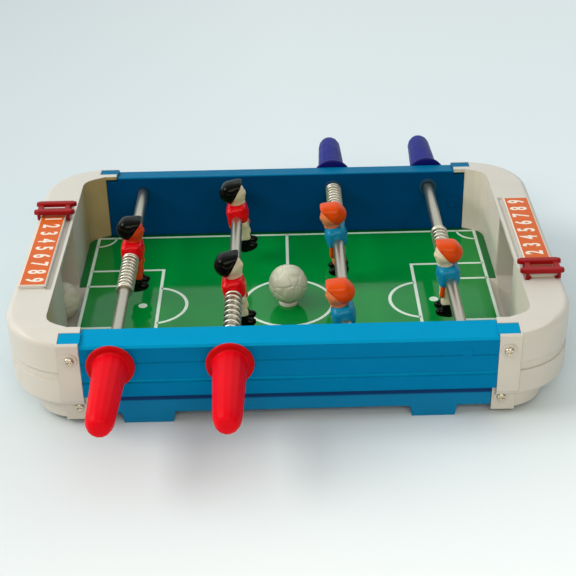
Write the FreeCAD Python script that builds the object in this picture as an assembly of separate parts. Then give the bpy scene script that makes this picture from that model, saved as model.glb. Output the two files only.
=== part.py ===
import FreeCAD, Part
import math
import os

# Tabletop foosball game for two, six players, four telescopic sprung rods.
# Millimetres. +X runs from the red goal (left) to the blue goal (right),
# +Y from the red player's side (front) to the blue player's side (rear), +Z up.
# The origin is on the ground under the kick-off spot.

V = FreeCAD.Vector

# ---- heights above the ground ----
PITCH_Z = 12.0
BOARD_T = 2.6
ROD_Z = 44.7
WALL_TOP_IN = 55.9
WALL_TOP_OUT = 53.3
CAP_TOP = 57.1
CAP_FALL_Y = 96.0
CAP_FALL = 0.12

# ---- long walls (front and rear, one part turned half round) ----
WALL_IN = 95.65
WALL_OUT = 111.8
WALL_HALF = 114.8
SKIN = 2.2
INNER_SKIN = 2.0
SKIN_BOTTOM = 20.7
INNER_SKIN_HALF = 122.0
EDGE_IN = 0.8
EDGE_OUT = 1.2
INLAY_IN = 101.0
INLAY_OUT = 110.0
INLAY_END = 126.3
INLAY_SINK = 0.2
INLAY_FIT = 0.2
RIB_X = (-85.0, -50.0, -15.0, 15.0, 50.0, 85.0)
RIB_T = 1.8
WEB_TOP = 52.0
TONGUE_Y = 108.5
TONGUE_T = 2.4
TONGUE_Z = (26.0, 51.0)
GROOVE_Z = (29.5, 32.0)
GROOVE_D = 1.1
LINE_Z = (42.5, 43.1)
LINE_D = 0.5

# ---- base rails under the long walls ----
RAIL_Y = 107.8
RAIL_T = 2.6
RAIL_HALF = 112.8
RAIL_TOP = 26.0
RAIL_SHELF_Y = 88.0
RAIL_TONGUE_END = 121.0
RAIL_TONGUE_Z = (8.0, 17.0)
RAIL_TONGUE_IN = 2.7
FOOT_X = ((-94.1, -66.5), (68.7, 92.8))
FOOT_DEPTH = 13.0
FOOT_SLOPE = 10.0

# ---- end caps ----
CAP_X = 160.0
CAP_Y = 111.3
CAP_R = 39.5
CAP_BOTTOM = 14.3
CAP_T = 2.2
CAP_START = 115.0
FLAP_END = 127.5
BASE_X = 145.5
BASE_Y = 107.3
BASE_R = 24.5
BASE_START = 113.2
BASE_BOTTOM = 3.2
RIM_X = 135.8
RIM_Y = 95.6
RIM_T = 2.0
GOAL_HALF = 28.0
GOAL_BACK = 156.0
GOAL_FLOOR = 5.0
GOAL_FLAT = 15.0
GOAL_T = 1.8
GOAL_FLOOR_T = 2.2
MOUTH_HALF = 24.5
MOUTH_X = 130.0
WAIST_Z = (31.0, 36.5)
WAIST_D = 0.9
DECK_T = 2.4
DECK_UNDER = CAP_TOP - DECK_T
TAB_END = 126.5
TAB_TOP = 18.5
CAP_LOW_ROUND = 3.2
CAP_TOP_ROUND = 4.0
BASE_ROUND = 2.0

# ---- corner screws: (x, z) of the high and low ones ----
SCREW_HIGH = (120.5, 45.3)
SCREW_LOW = (118.5, 12.3)
BOSS_R = 4.3
BOSS_H = 0.7
HEAD_R = 2.75
HEAD_H = 1.9
HEAD_FIT = 0.5
SHANK_R = 1.2
PILOT_R = 1.25
CLEAR_R = 1.5
SHANK_LEN = 8.0
CROSS_ARM = 1.6
CROSS_W = 0.7
CROSS_D = 1.0
HEAD_ROUND = 1.2

# ---- rods ----
ROD_X = 97.5
FIELD_ROD_X = 32.5
TUBE_R = 3.5
GUIDE_R = 2.5
GUIDE_FIT = 0.05
BUSH_FIT = 0.06
BUSH_R = 4.8
BUSH_HOLE_R = 4.85
BUSH_FLANGE_R = 6.2
BUSH_FACE = 94.6
FAR_HOLE_R = 3.75
SOCKET_R = 5.0
SOCKET_Y = 104.2
GUIDE_END = 108.8
GUIDE_INNER_END = 95.0
TUBE_FAR_IN = 102.9

# ---- handles (s is measured outward from the wall's outer face) ----
FLANGE_R = 13.35
FLANGE_T = 2.6
HANDLE_LEN = 58.6
HANDLE_R0 = 9.6
HANDLE_R1 = 7.6
HANDLE_FACETS = 14
HANDLE_BORE = 4.9
PRESS_GAP = 0.02
RED_GAP = 4.6
BLUE_GAP = 0.3

# ---- springs ----
SPRING_R = 4.7
WIRE_R = 0.6
RED_FORWARD_COILS = 10
BLUE_FORWARD_COILS = 17
KEEPER_SPRING = (39.5, 9.5)
BLUE_KEEPER_SPRING = (49.5, 12)
SPRING_GAP = 0.5

# ---- balls and kick-off ring ----
BALL_R = 12.2
RING_R = 6.0
RING_BORE = 3.6
RING_H = 2.25
SPARE_X = -143.4

# ---- score keepers ----
STRIP_X = (140.5, 156.5)
STRIP_Y = (-52.9, 46.9)
STRIP_TOP = 59.0
LABEL_T = 0.3
LABEL_IN = 0.5
LABEL_END = 0.8
STRIP_LIP_T = 0.9
TRACK_X = (137.7, 140.5)
TRACK_D = 1.2
LEFT_TRACK_Y = (-54.0, 52.0)
RIGHT_TRACK_Y = (-56.0, 51.0)
LIP = 1.3
HOOK_Z = (0.2, 0.8)
SLIDER_X = (135.0, 160.4)
SLIDER_Z = (61.2, 63.8)
SLIDER_BAR = 4.4
SLIDER_PITCH = 11.0
SLIDER_LEFT_Y = 40.3
SLIDER_RIGHT_Y = -48.3

# ---- players: fore-aft (forward +), width and height about the rod axis ----
BODY_HALF = 8.0
TORSO_F = (-5.6, 7.2)
TORSO_Z = (-4.0, 9.4)
FACE_R = 6.6
FACE_AT = (2.0, 16.9)
HAIR_R = 7.8
HAIR_AT = (0.2, 17.6)
CROWN_R = 6.6
CROWN_AT = (2.6, 18.6)
HAIRLINE = ((-1.2, 8.0), (-1.2, 9.5), (3.4, 17.2), (8.2, 25.0), (14.0, 26.0), (14.0, 8.0))
ARM_Y = 6.0
BACK_ARM = ((-3.0, 5.4), (-4.5, -4.6))
FRONT_ARM = ((3.6, 5.4), (5.5, -8.6))
ARM_R = (2.2, 1.8)
HIPS_F = (-3.4, 6.2)
HIPS_Z = -7.6
LEG_F = 1.6
LEG_Y = 4.3
LEG_R = (4.0, 3.4)
ANKLE_Z = -16.0
SHOE_F = (-3.4, 9.4)
SHOE_HALF = 2.7
SHOE_TOP = -18.6
SOLE_Z = -25.2
RED_LEAN = 9.5
BLUE_LEAN = 9.0
BLUE_KEEPER_LEAN = 3.5
RED_KEEPER_Y = 10.0
RED_FIELD_Y = (-38.0, 58.0)
BLUE_FIELD_Y = (-72.0, 24.0)
BLUE_KEEPER_Y = -29.0


def box(x0, x1, y0, y1, z0, z1):
    return Part.makeBox(x1 - x0, y1 - y0, z1 - z0, V(x0, y0, z0))


def cyl_y(r, x, z, y0, y1):
    return Part.makeCylinder(r, y1 - y0, V(x, y0, z), V(0, 1, 0))


def cyl_z(r, x, y, z0, z1):
    return Part.makeCylinder(r, z1 - z0, V(x, y, z0), V(0, 0, 1))


def polygon(points):
    return Part.Face(Part.makePolygon([V(*p) for p in points + [points[0]]]))


def prism_x(yz, x0, x1):
    return polygon([(x0, y, z) for y, z in yz]).extrude(V(x1 - x0, 0, 0))


def prism_y(xz, y0, y1):
    return polygon([(x, y0, z) for x, z in xz]).extrude(V(0, y1 - y0, 0))


def prism_z(xy, z0, z1):
    return polygon([(x, y, z0) for x, y in xy]).extrude(V(0, 0, z1 - z0))


def half_turn(shape):
    turned = shape.copy()
    turned.rotate(V(0, 0, 0), V(0, 0, 1), 180)
    return turned


def joined(shapes):
    return shapes[0].fuse(shapes[1:]).removeSplitter()


def level_edges(shape, z, pick=None):
    found = []
    for edge in shape.Edges:
        b = edge.BoundBox
        if abs(b.ZMin - z) < 0.01 and abs(b.ZMax - z) < 0.01 and (pick is None or pick(edge)):
            found.append(edge)
    return found


def save(name, shape):
    shape.exportStep("parts/" + name + ".step")


def wall_top(y):
    t = (abs(y) - WALL_IN) / (WALL_OUT - WALL_IN)
    return WALL_TOP_IN + t * (WALL_TOP_OUT - WALL_TOP_IN)


def cap_top(y):
    return CAP_TOP - CAP_FALL * max(0.0, abs(y) - CAP_FALL_Y)


def span(side, a, b):
    return tuple(sorted((side * a, side * b)))


# ---------------------------------------------------------------- long wall
def wall_shell():
    inner_back = WALL_IN + INNER_SKIN
    outer_back = WALL_OUT - SKIN
    yz = [
        (-WALL_OUT, SKIN_BOTTOM),
        (-WALL_OUT, WALL_TOP_OUT - EDGE_OUT),
        (-WALL_OUT + EDGE_OUT, wall_top(WALL_OUT - EDGE_OUT)),
        (-WALL_IN - EDGE_IN, wall_top(WALL_IN + EDGE_IN)),
        (-WALL_IN, WALL_TOP_IN - EDGE_IN),
        (-WALL_IN, PITCH_Z),
        (-inner_back, PITCH_Z),
        (-inner_back, wall_top(inner_back) - SKIN),
        (-outer_back, wall_top(outer_back) - SKIN),
        (-outer_back, SKIN_BOTTOM),
    ]
    return prism_x(yz, -WALL_HALF, WALL_HALF)


def wall_inlay_tab(side):
    yz = [
        (-INLAY_IN, cap_top(INLAY_IN) - INLAY_SINK),
        (-INLAY_OUT, cap_top(INLAY_OUT) - INLAY_SINK),
        (-INLAY_OUT, wall_top(INLAY_OUT) - SKIN),
        (-INLAY_IN, wall_top(INLAY_IN) - SKIN),
    ]
    return prism_x(yz, *span(side, WALL_HALF - 0.5, INLAY_END))


def wall_end(side):
    x0, x1 = span(side, WALL_HALF - 1, INNER_SKIN_HALF)
    skin = box(x0, x1, -WALL_IN - INNER_SKIN, -WALL_IN, PITCH_Z, WEB_TOP + 0.9)
    x0, x1 = span(side, WALL_HALF - 4, INLAY_END - 0.6)
    tongue = box(x0, x1, -TONGUE_Y, -TONGUE_Y + TONGUE_T, *TONGUE_Z)
    x0, x1 = span(side, WALL_HALF - 4, WALL_HALF - 2)
    web = box(x0, x1, -WALL_OUT + 1, -WALL_IN - 1, RAIL_TOP, WEB_TOP)
    return [skin, tongue, web, wall_inlay_tab(side)]


def wall_ribs():
    ribs = []
    for x in RIB_X:
        ribs.append(box(x - RIB_T / 2, x + RIB_T / 2, -WALL_OUT + 1, -WALL_IN - 1, RAIL_TOP, WEB_TOP))
    return ribs


def wall_grooves():
    x0, x1 = -WALL_HALF, WALL_HALF
    groove = box(x0, x1, -WALL_OUT - 1, -WALL_OUT + GROOVE_D, *GROOVE_Z)
    line = box(x0, x1, -WALL_OUT - 1, -WALL_OUT + LINE_D, *LINE_Z)
    return [groove, line]


def long_wall():
    solids = [wall_shell()] + wall_ribs() + wall_end(-1) + wall_end(1)
    for x in (FIELD_ROD_X, ROD_X):
        solids.append(cyl_y(SOCKET_R, x, ROD_Z, -WALL_OUT + 1, -SOCKET_Y))
    cuts = wall_grooves()
    for x in (FIELD_ROD_X, ROD_X):
        cuts.append(cyl_y(FAR_HOLE_R, x, ROD_Z, -WALL_IN - 3, -WALL_IN + 1))
        cuts.append(cyl_y(GUIDE_R + GUIDE_FIT, x, ROD_Z, -GUIDE_END - 0.3, -SOCKET_Y + 1))
    for x in (-FIELD_ROD_X, -ROD_X):
        cuts.append(cyl_y(BUSH_HOLE_R, x, ROD_Z, -WALL_OUT - 1, -WALL_IN + 1))
    for x in (-SCREW_HIGH[0], SCREW_HIGH[0]):
        cuts.append(cyl_y(PILOT_R, x, SCREW_HIGH[1], -WALL_OUT, -TONGUE_Y + 8))
    return joined(solids).cut(Part.makeCompound(cuts))


# ---------------------------------------------------------------- base rail
def foot(x0, x1):
    y0 = -RAIL_Y
    y1 = y0 + FOOT_DEPTH
    block = box(x0 - 3.5, x1 + 2.0, y0, y1, 0, PITCH_Z - BOARD_T)
    hollow = cyl_y(12.0, x0 - 12.2, 1.0, y0 - 1, y1 + 1)
    slope = box(x1, x1 + 4, y0 - 1, y1 + 1, -1, 11)
    slope.rotate(V(x1, 0, 0), V(0, 1, 0), FOOT_SLOPE)
    return block.cut(hollow).cut(slope)


def base_rail():
    y0 = -RAIL_Y
    shelf_top = PITCH_Z - BOARD_T
    shelf = box(-RAIL_HALF, RAIL_HALF, y0, -RAIL_SHELF_Y, shelf_top - 2.4, shelf_top)
    skirt = box(-RAIL_HALF, RAIL_HALF, y0, y0 + RAIL_T, shelf_top - 2.4, RAIL_TOP)
    pieces = [shelf, skirt] + [foot(x0, x1) for x0, x1 in FOOT_X]
    back = y0 + RAIL_TONGUE_IN + TONGUE_T
    for side in (-1, 1):
        x0, x1 = span(side, RAIL_HALF - 2.8, RAIL_TONGUE_END)
        pieces.append(box(x0, x1, y0 + RAIL_TONGUE_IN, back, *RAIL_TONGUE_Z))
        x0, x1 = span(side, RAIL_HALF - 4.8, RAIL_HALF)
        pieces.append(box(x0, x1, y0 + 1, back, *RAIL_TONGUE_Z))
    holes = [cyl_y(PILOT_R, x, SCREW_LOW[1], y0 - 1, y0 + SHANK_LEN) for x in (-SCREW_LOW[0], SCREW_LOW[0])]
    return joined(pieces).cut(Part.makeCompound(holes))


# ---------------------------------------------------------------- end cap
def corner_plan(x_max, y_max, r, x_start, off):
    xc = x_max - r
    yc = y_max - r
    diagonal = (r - off) * math.cos(math.radians(45))
    a = V(xc + diagonal, -yc - diagonal, 0)
    b = V(xc + diagonal, yc + diagonal, 0)
    p = [
        V(x_start, -y_max + off, 0),
        V(xc, -y_max + off, 0),
        V(x_max - off, -yc, 0),
        V(x_max - off, yc, 0),
        V(xc, y_max - off, 0),
        V(x_start, y_max - off, 0),
    ]
    front = [Part.makeLine(p[0], p[1]), Part.Arc(p[1], a, p[2]).toShape()]
    side = [Part.makeLine(p[2], p[3]), Part.Arc(p[3], b, p[4]).toShape()]
    rear = [Part.makeLine(p[4], p[5]), Part.makeLine(p[5], p[0])]
    return Part.Face(Part.Wire(front + side + rear))


def raised(face, z0, z1):
    low = face.copy()
    low.translate(V(0, 0, z0))
    return low.extrude(V(0, 0, z1 - z0))


def upper_plan(off):
    return corner_plan(CAP_X, CAP_Y, CAP_R, CAP_START, off)


def base_plan(off):
    return corner_plan(BASE_X, BASE_Y, BASE_R, BASE_START, off)


def rounded_tier(face, z0, z1, x_start, r_low, r_top):
    def outer(edge):
        return edge.BoundBox.XMax > x_start + 0.5

    tier = raised(face, z0, z1)
    if r_low:
        tier = tier.makeFillet(r_low, level_edges(tier, z0, outer))
    if r_top:
        tier = tier.makeFillet(r_top, level_edges(tier, z1, outer))
    return tier


def rim_outline(grow):
    g = grow
    half = [
        (118.0, -RIM_Y - g),
        (122.5 + 0.5 * g, -RIM_Y - g),
        (129.0 + 0.6 * g, -92.4 - 0.8 * g),
        (133.0 + 0.75 * g, -89.6 - 0.65 * g),
        (135.0 + 0.9 * g, -86.6 - 0.4 * g),
        (RIM_X + g, -83.0 - 0.2 * g),
    ]
    return half + [(x, -y) for x, y in reversed(half)]


def field_opening():
    return prism_z([(100, -RIM_Y)] + rim_outline(0) + [(100, RIM_Y)], -5, 80)


def inner_wall():
    start = INNER_SKIN_HALF + 0.3
    outer = prism_z(rim_outline(RIM_T), PITCH_Z, DECK_UNDER + 1)
    wall = outer.cut(field_opening())
    wall = wall.cut(box(100, start, -120, 120, 0, 80))
    return wall.cut(box(130, 145, -GOAL_HALF, GOAL_HALF, 0, 80))


def pocket_plan(g):
    near = [(RIM_X, -GOAL_HALF - g), (GOAL_BACK + g, -GOAL_HALF + 2 - g)]
    return near + [(x, -y) for x, y in reversed(near)]


def goal_profile(drop, half_top, half_floor):
    return [(-half_top, PITCH_Z - drop), (-half_floor, GOAL_FLOOR - drop),
            (half_floor, GOAL_FLOOR - drop), (half_top, PITCH_Z - drop)]


def goal_pocket():
    room = [(-40, 80), (-40, PITCH_Z)] + goal_profile(0, MOUTH_HALF, GOAL_FLAT) + [(40, PITCH_Z), (40, 80)]
    inside = prism_z(pocket_plan(0), 0, 80).common(prism_x(room, 120, 170))
    block = prism_z(pocket_plan(GOAL_T), GOAL_FLOOR - GOAL_FLOOR_T, DECK_UNDER + 1)
    shell = block.cut(inside).cut(prism_x(room, 120, RIM_X))
    for sign in (-1, 1):
        under = [
            (sign * 40, PITCH_Z - DECK_T),
            (sign * (MOUTH_HALF + 1.2), PITCH_Z - DECK_T),
            (sign * (GOAL_FLAT + 1), GOAL_FLOOR - GOAL_FLOOR_T),
            (sign * (GOAL_FLAT + 1), -1),
            (sign * 40, -1),
        ]
        shell = shell.cut(prism_x(under, 120, 170))
    upper = goal_profile(0, MOUTH_HALF, GOAL_FLAT)
    lower = goal_profile(GOAL_FLOOR_T, MOUTH_HALF, GOAL_FLAT + 1)
    sill = prism_x(upper + lower[::-1], MOUTH_X, RIM_X + 1)
    return shell.fuse(sill)


def slope_wedges(drop):
    wedges = []
    end = WALL_OUT + 2
    for sign in (-1, 1):
        yz = [
            (sign * CAP_FALL_Y, CAP_TOP - drop),
            (sign * end, cap_top(end) - drop),
            (sign * end, 70),
            (sign * CAP_FALL_Y, 70),
        ]
        wedges.append(prism_x(yz, CAP_START - 2, CAP_X + 2))
    return Part.makeCompound(wedges)


def cap_flap(sign):
    inner = CAP_Y - CAP_T
    tab_inner = BASE_Y - CAP_T
    crest = cap_top(WALL_OUT - EDGE_IN)
    yz = [
        (WALL_OUT, TAB_TOP - 0.5),
        (WALL_OUT, crest - 1.0),
        (WALL_OUT - EDGE_IN, crest),
        (inner, cap_top(inner)),
        (inner, TAB_TOP - 0.5),
    ]
    flap = prism_x([(sign * y, z) for y, z in yz], CAP_START, FLAP_END)
    y0, y1 = span(sign, RAIL_Y, tab_inner)
    tab = box(BASE_START, TAB_END, y0, y1, BASE_BOTTOM, TAB_TOP)
    high = cyl_y(BOSS_R, *SCREW_HIGH, *span(sign, WALL_OUT + BOSS_H, inner))
    low = cyl_y(BOSS_R, *SCREW_LOW, *span(sign, RAIL_Y + BOSS_H, tab_inner))
    return [flap, tab, high, low]


def cap_shell():
    floor = CAP_BOTTOM + CAP_T
    upper = rounded_tier(upper_plan(0), CAP_BOTTOM, CAP_TOP, CAP_START, CAP_LOW_ROUND, CAP_TOP_ROUND)
    waist = raised(upper_plan(-2), *WAIST_Z).cut(raised(upper_plan(WAIST_D), 0, 80))
    room = raised(upper_plan(CAP_T), floor, DECK_UNDER).cut(slope_wedges(DECK_T))
    hollow = raised(base_plan(CAP_T), -1, floor + 0.5)
    upper = upper.cut(waist).cut(slope_wedges(0)).cut(room).cut(hollow)
    base = rounded_tier(base_plan(0), BASE_BOTTOM, floor, BASE_START, BASE_ROUND, 0).cut(hollow)
    outside = joined([upper, base] + cap_flap(-1) + cap_flap(1))
    return outside.cut(field_opening()).cut(prism_z(pocket_plan(0), 0, DECK_UNDER))


def end_cap():
    cap = joined([cap_shell(), inner_wall(), goal_pocket()])
    cuts = []
    for sign in (-1, 1):
        y0, y1 = span(sign, INLAY_IN - INLAY_FIT, INLAY_OUT + INLAY_FIT)
        cuts.append(box(CAP_START - 1, INLAY_END + INLAY_FIT, y0, y1, 50, 60))
        through = span(sign, 100, WALL_OUT + 2)
        cuts.append(cyl_y(CLEAR_R, *SCREW_HIGH, *through))
        cuts.append(cyl_y(CLEAR_R, *SCREW_LOW, *through))
        cuts.append(cyl_y(HEAD_R + HEAD_FIT, *SCREW_LOW, *span(sign, RAIL_Y + BOSS_H, WALL_OUT + 2)))
    return cap.cut(Part.makeCompound(cuts))


def grooved(cap, y0, y1):
    """The right end cap with the groove that the score keeper's feet run in."""
    return cap.cut(box(*TRACK_X, y0, y1, CAP_TOP - TRACK_D, CAP_TOP + 4))


# ---------------------------------------------------------------- screws
def round_edges(shape, y, r):
    """Round the circular edges that lie in the plane at y."""
    found = []
    for edge in shape.Edges:
        b = edge.BoundBox
        if b.YLength < 0.01 and abs(b.YMin - y) < 0.01:
            found.append(edge)
    return shape.makeFillet(r, found)


def screw(x, z, seat):
    head = round_edges(cyl_y(HEAD_R, 0, 0, -HEAD_H, 0), -HEAD_H, HEAD_ROUND)
    half = CROSS_W / 2
    depth = CROSS_D - HEAD_H
    bar = box(-CROSS_ARM, CROSS_ARM, -3, depth, -half, half)
    post = box(-half, half, -3, depth, -CROSS_ARM, CROSS_ARM)
    cross = [bar, post]
    body = head.fuse(cyl_y(SHANK_R, 0, 0, -0.1, SHANK_LEN)).cut(Part.makeCompound(cross))
    body.translate(V(x, -seat, z))
    return body


def corner_screws():
    front = []
    for side in (-1, 1):
        front.append(screw(side * SCREW_HIGH[0], SCREW_HIGH[1], WALL_OUT + BOSS_H))
        front.append(screw(side * SCREW_LOW[0], SCREW_LOW[1], RAIL_Y + BOSS_H))
    return Part.makeCompound(front + [half_turn(s) for s in front])


# ---------------------------------------------------------------- pitch and balls
def pitch_board():
    edge = WALL_IN + 1.8
    outline = [(INNER_SKIN_HALF - 0.5, -edge)] + rim_outline(1.6)[1:-1] + [(INNER_SKIN_HALF - 0.5, edge)]
    outline = outline + [(-x, -y) for x, y in outline]
    board = prism_z(outline, PITCH_Z - BOARD_T, PITCH_Z)
    mouth = MOUTH_HALF + 0.1
    pocket = GOAL_HALF + 2.1
    cuts = [box(MOUTH_X - 0.1, 145, -mouth, mouth, 0, 20), box(RIM_X - 0.1, 145, -pocket, pocket, 0, 20)]
    cuts = cuts + [half_turn(c) for c in cuts]
    return board.cut(Part.makeCompound(cuts))


def kickoff_ring():
    ring = cyl_z(RING_R, 0, 0, PITCH_Z, PITCH_Z + RING_H)
    ring = ring.makeFillet(0.6, level_edges(ring, PITCH_Z + RING_H))
    return ring.cut(cyl_z(RING_BORE, 0, 0, 0, 40))


def ball(x, z):
    return Part.makeSphere(BALL_R, V(x, 0, z))


# ---------------------------------------------------------------- score keeper
def score_strip(y0, y1):
    x0, x1 = STRIP_X
    foot_bar = box(x0 + LIP, x1 - LIP, y0, y1, CAP_TOP, STRIP_TOP)
    return foot_bar.fuse(box(x0, x1, y0, y1, STRIP_TOP - STRIP_LIP_T, STRIP_TOP)).removeSplitter()


def score_label(y0, y1):
    x0, x1 = STRIP_X
    return box(x0 + LABEL_IN, x1 - LABEL_IN, y0 + LABEL_END, y1 - LABEL_END, STRIP_TOP, STRIP_TOP + LABEL_T)


def slider_bar(y):
    z0, z1 = SLIDER_Z
    xa, xb = SLIDER_X
    y0 = y - SLIDER_BAR / 2
    y1 = y + SLIDER_BAR / 2
    slant = 1.2
    run = 2.5
    outline = [(xa, y0 + slant), (xa + run, y0), (xb - run, y0), (xb, y0 + slant)]
    outline = outline + [(xb, y1 - slant), (xb - run, y1), (xa + run, y1), (xa, y1 - slant)]
    bar = prism_z(outline, z0, z1)
    return bar.makeFillet(0.8, level_edges(bar, z1))


def slider_leg(y):
    y0, y1 = y - 1.4, y + 1.4
    top = SLIDER_Z[0] + 1
    h0, h1 = CAP_TOP + HOOK_Z[0], CAP_TOP + HOOK_Z[1]
    inner = box(138.4, 140.1, y0, y1, CAP_TOP - 0.6, top)
    outer = box(156.9, 158.6, y0, y1, h0, top)
    return [inner, outer, box(138.4, 141.5, y0, y1, h0, h1), box(155.5, 158.6, y0, y1, h0, h1)]


def score_slider(y):
    z0, z1 = SLIDER_Z
    y0, y1 = y - SLIDER_PITCH / 2, y + SLIDER_PITCH / 2
    parts = [slider_bar(y0), slider_bar(y1)]
    for x0, x1 in ((138.6, 141.6), (155.4, 158.6)):
        parts.append(box(x0, x1, y0, y1, z0, z1 - 0.9))
    return joined(parts + slider_leg(y0) + slider_leg(y1))


# ---------------------------------------------------------------- rods
# Everything on a rod is built the red way (handle at the front); the blue rods are the same, turned.
def bush(x):
    sleeve = cyl_y(BUSH_R, x, ROD_Z, -WALL_OUT, -BUSH_FACE)
    sleeve = sleeve.fuse(cyl_y(BUSH_FLANGE_R, x, ROD_Z, -WALL_IN, -BUSH_FACE)).removeSplitter()
    bore = cyl_y(TUBE_R + BUSH_FIT, x, ROD_Z, -WALL_OUT - 1, -BUSH_FACE + 1)
    lead = Part.makeCone(TUBE_R + BUSH_FIT, TUBE_R + 0.7, 0.7, V(x, -BUSH_FACE - 0.7, ROD_Z), V(0, 1, 0))
    return sleeve.cut(bore).cut(lead)


def tube(x, gap):
    far = TUBE_FAR_IN - gap
    near = -(WALL_OUT + gap + HANDLE_LEN - HANDLE_BORE - 0.1)
    outer = cyl_y(TUBE_R, x, ROD_Z, near, far)
    outer = outer.makeChamfer(0.4, [e for e in outer.Edges if abs(e.BoundBox.YMin - far) < 0.01])
    return outer.cut(cyl_y(GUIDE_R + GUIDE_FIT, x, ROD_Z, near + 3.0, far + 1))


def guide_rod(x):
    rod = cyl_y(GUIDE_R, x, ROD_Z, -GUIDE_INNER_END, GUIDE_END)
    return rod.makeChamfer(0.4, [e for e in rod.Edges if e.BoundBox.YLength < 0.01])


def grip_ring(x, y, r):
    corners = []
    for k in range(HANDLE_FACETS):
        a = 2 * math.pi * k / HANDLE_FACETS
        corners.append(V(x + r * math.cos(a), y, ROD_Z + r * math.sin(a)))
    return Part.makePolygon(corners + [corners[0]])


def handle(x, gap):
    back = -(WALL_OUT + gap)
    end = back - HANDLE_LEN
    flange = cyl_y(FLANGE_R, x, ROD_Z, back - FLANGE_T, back)
    flange = flange.makeFillet(0.9, [e for e in flange.Edges if e.BoundBox.YLength < 0.01])
    rings = [
        grip_ring(x, back - 0.5, HANDLE_R0),
        grip_ring(x, end + 6.5, HANDLE_R1),
        grip_ring(x, end + 2.2, HANDLE_R1 * 0.86),
        grip_ring(x, end, HANDLE_R1 * 0.5),
    ]
    solid = flange.fuse(Part.makeLoft(rings, True, True))
    return solid.cut(cyl_y(TUBE_R + PRESS_GAP, x, ROD_Z, end + HANDLE_BORE, back + 1))


def spring(x, y0, y1, coils):
    height = y1 - y0 - 2 * WIRE_R
    helix = Part.makeHelix(height / coils, height, SPRING_R)
    profile = Part.Wire(Part.makeCircle(WIRE_R, V(SPRING_R, 0, 0), V(0, 1, 0)))
    coil = Part.Wire(helix).makePipeShell([profile], True, True)
    coil.rotate(V(0, 0, 0), V(1, 0, 0), -90)
    coil.translate(V(x, y0 + WIRE_R, ROD_Z))
    return coil


# ---------------------------------------------------------------- players
def limb(a, b, r0, r1):
    axis = b - a
    return [Part.makeCone(r0, r1, axis.Length, a, axis), Part.makeSphere(r0, a), Part.makeSphere(r1, b)]


def head():
    face = Part.makeSphere(FACE_R, V(FACE_AT[0], 0, FACE_AT[1]))
    neck = cyl_z(4.2, FACE_AT[0], 0, TORSO_Z[1] - 1, FACE_AT[1])
    hair = Part.makeSphere(HAIR_R, V(HAIR_AT[0], 0, HAIR_AT[1]))
    hair = hair.fuse(Part.makeSphere(CROWN_R, V(CROWN_AT[0], 0, CROWN_AT[1])))
    return [face, neck, hair.cut(prism_y(HAIRLINE, -12, 12))]


def torso():
    body = box(*TORSO_F, -BODY_HALF, BODY_HALF, *TORSO_Z)
    body = body.makeFillet(3.6, [e for e in body.Edges if e.BoundBox.ZLength > 10])
    body = body.makeFillet(1.2, level_edges(body, TORSO_Z[0]) + level_edges(body, TORSO_Z[1]))
    return [body, box(*HIPS_F, -BODY_HALF + 0.8, BODY_HALF - 0.8, HIPS_Z, TORSO_Z[0] + 1)]


def arms():
    pieces = []
    for side, (shoulder, hand) in ((-1, BACK_ARM), (1, FRONT_ARM)):
        a = V(shoulder[0], side * ARM_Y, shoulder[1])
        b = V(hand[0], side * ARM_Y, hand[1])
        pieces = pieces + limb(a, b, *ARM_R)
    return pieces


def leg(y):
    shin = Part.makeCone(LEG_R[0], LEG_R[1], HIPS_Z - ANKLE_Z + 1, V(LEG_F, y, HIPS_Z + 1), V(0, 0, -1))
    shin = shin.common(box(-20, 20, y - 2.9, y + 2.9, -30, 0))
    boot = box(SHOE_F[0], LEG_F + LEG_R[1], y - SHOE_HALF, y + SHOE_HALF, SOLE_Z, ANKLE_Z + 0.2)
    toe = box(LEG_F, SHOE_F[1], y - SHOE_HALF, y + SHOE_HALF, SOLE_Z, SHOE_TOP)
    shoe = boot.fuse(toe).removeSplitter()
    shoe = shoe.makeFillet(1.4, [e for e in shoe.Edges if e.BoundBox.ZLength > 5])
    return [shin, shoe]


def player():
    figure = joined(head() + torso() + arms() + leg(-LEG_Y) + leg(LEG_Y))
    return figure.cut(cyl_y(TUBE_R + PRESS_GAP, 0, 0, -BODY_HALF * 2, BODY_HALF * 2))


def placed_player(x, y, lean):
    figure = player()
    figure.rotate(V(0, 0, 0), V(0, 1, 0), lean)
    figure.translate(V(x, y, ROD_Z))
    return figure


# ---------------------------------------------------------------- sets
def save_rod(team, role, x, gap, turn):
    start = team + "_" + role
    save(start + "_bush", turn(bush(x)))
    save(start + "_rod", turn(tube(x, gap)))
    save(start + "_guide_rod", turn(guide_rod(x)))
    save(start + "_handle", turn(handle(x, gap)))


def keep(shape):
    return shape


def save_both_ends(first, second, shape):
    save(first, shape)
    save(second, half_turn(shape))


def save_frame():
    save_both_ends("front_wall", "rear_wall", long_wall())
    save_both_ends("front_base_rail", "rear_base_rail", base_rail())
    cap = end_cap()
    near, far = STRIP_Y
    save("right_end_cap", grooved(cap, *RIGHT_TRACK_Y))
    save("left_end_cap", half_turn(grooved(cap, *span(-1, *LEFT_TRACK_Y))))
    save("right_score_strip", score_strip(near, far))
    save("left_score_strip", half_turn(score_strip(-far, -near)))
    save("right_score_label", score_label(near, far))
    save("left_score_label", half_turn(score_label(-far, -near)))
    save("left_score_slider", half_turn(score_slider(-SLIDER_LEFT_Y)))
    save("right_score_slider", score_slider(SLIDER_RIGHT_Y))
    save("corner_screws", corner_screws())
    save("pitch_board", pitch_board())
    save("kickoff_ring", kickoff_ring())


def save_balls():
    lift = math.sqrt(BALL_R ** 2 - RING_BORE ** 2)
    save("match_ball", ball(0, PITCH_Z + RING_H + lift + 0.02))
    save("spare_ball", ball(SPARE_X, GOAL_FLOOR + BALL_R + 0.02))


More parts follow.
